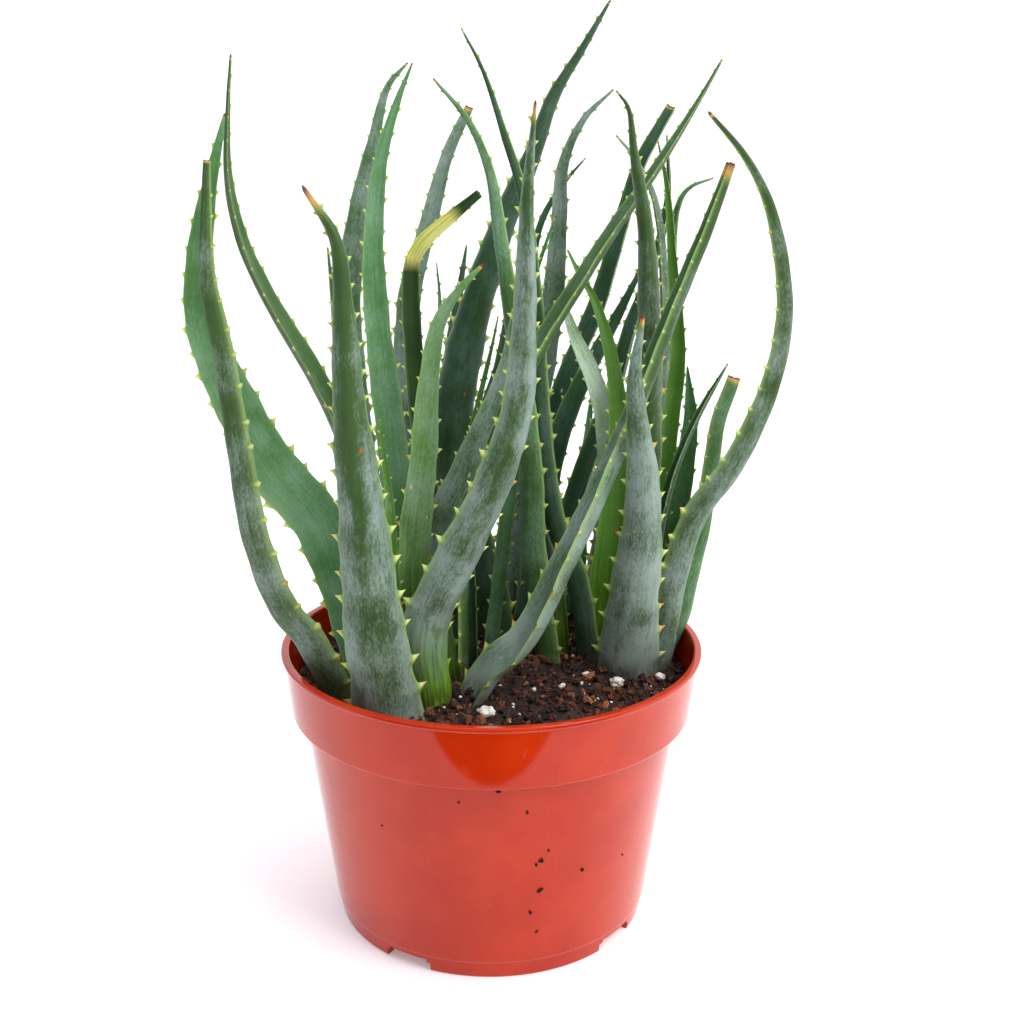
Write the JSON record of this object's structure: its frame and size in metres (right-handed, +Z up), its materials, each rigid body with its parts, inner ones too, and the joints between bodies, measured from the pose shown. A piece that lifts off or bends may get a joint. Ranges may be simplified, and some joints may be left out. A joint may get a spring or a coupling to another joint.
{
  "type": "potted aloe plant",
  "caption": "Clump of spiny fleshy leaves in rosettes, rooted in dark soil with white grains in a round tapered plastic nursery pot with a stepped collar.",
  "frame": {"origin": "centre of the pot's foot ring, on the ground", "axes": "+Z up; -Y towards the front of the clump, the side the broad upright leaf stands on; +X to the right seen from the front"},
  "size_m": [0.2193, 0.16, 0.3443],
  "materials": {
    "pot": "glossy moulded orange-red plastic",
    "soil": "dark loose peat and coir fibre, rough",
    "perlite": "white expanded mineral grain, matte",
    "stem": "pale fleshy stem, matte",
    "leaf_grey": "grey-green waxy bloom with darker streaks",
    "leaf_green": "mid green waxy leaf skin",
    "leaf_dark": "deep green waxy leaf skin",
    "leaf_young": "bright yellow-green young leaf skin"
  },
  "bodies": {
    "root": {"leaf_west_front_1": "leaf_grey", "leaf_west_front_2": "leaf_grey", "leaf_west_front_3": "leaf_grey", "leaf_west_front_4": "leaf_green", "leaf_west_front_5": "leaf_green", "leaf_west_front_6": "leaf_young", "leaf_west_front_7": "leaf_young", "leaf_west_front_8": "leaf_grey", "leaf_west_front_9": "leaf_grey", "leaf_west_front_10": "leaf_grey", "leaf_west_back_1": "leaf_grey", "leaf_west_back_2": "leaf_grey", "leaf_west_back_3": "leaf_green", "leaf_west_back_4": "leaf_grey", "leaf_west_back_5": "leaf_green", "leaf_west_back_6": "leaf_green", "leaf_west_back_7": "leaf_dark", "leaf_west_back_8": "leaf_young", "leaf_west_back_9": "leaf_grey", "leaf_west_back_10": "leaf_green", "leaf_centre_back_1": "leaf_dark", "leaf_centre_back_2": "leaf_grey", "leaf_centre_back_3": "leaf_dark", "leaf_centre_back_4": "leaf_green", "leaf_centre_back_5": "leaf_dark", "leaf_centre_back_6": "leaf_dark", "leaf_centre_back_7": "leaf_dark", "leaf_centre_back_8": "leaf_grey", "leaf_centre_back_9": "leaf_grey", "leaf_centre_back_10": "leaf_green", "leaf_east_front_1": "leaf_grey", "leaf_east_front_2": "leaf_grey", "leaf_east_front_3": "leaf_green", "leaf_east_front_4": "leaf_dark", "leaf_east_front_5": "leaf_young", "leaf_east_front_6": "leaf_grey", "leaf_east_front_7": "leaf_grey", "leaf_east_front_8": "leaf_young", "leaf_east_front_9": "leaf_green", "leaf_east_front_10": "leaf_dark", "leaf_east_back_1": "leaf_grey", "leaf_east_back_2": "leaf_green", "leaf_east_back_3": "leaf_green", "leaf_east_back_4": "leaf_grey", "leaf_east_back_5": "leaf_green", "perlite_1": "perlite", "perlite_2": "perlite", "perlite_3": "perlite", "perlite_4": "perlite", "perlite_5": "perlite", "perlite_6": "perlite", "perlite_7": "perlite", "pot": "pot", "soil": "soil", "stem_centre_back": "stem", "stem_east_back": "stem", "stem_east_front": "stem", "stem_west_back": "stem", "stem_west_front": "stem"}
  },
  "joints": []
}
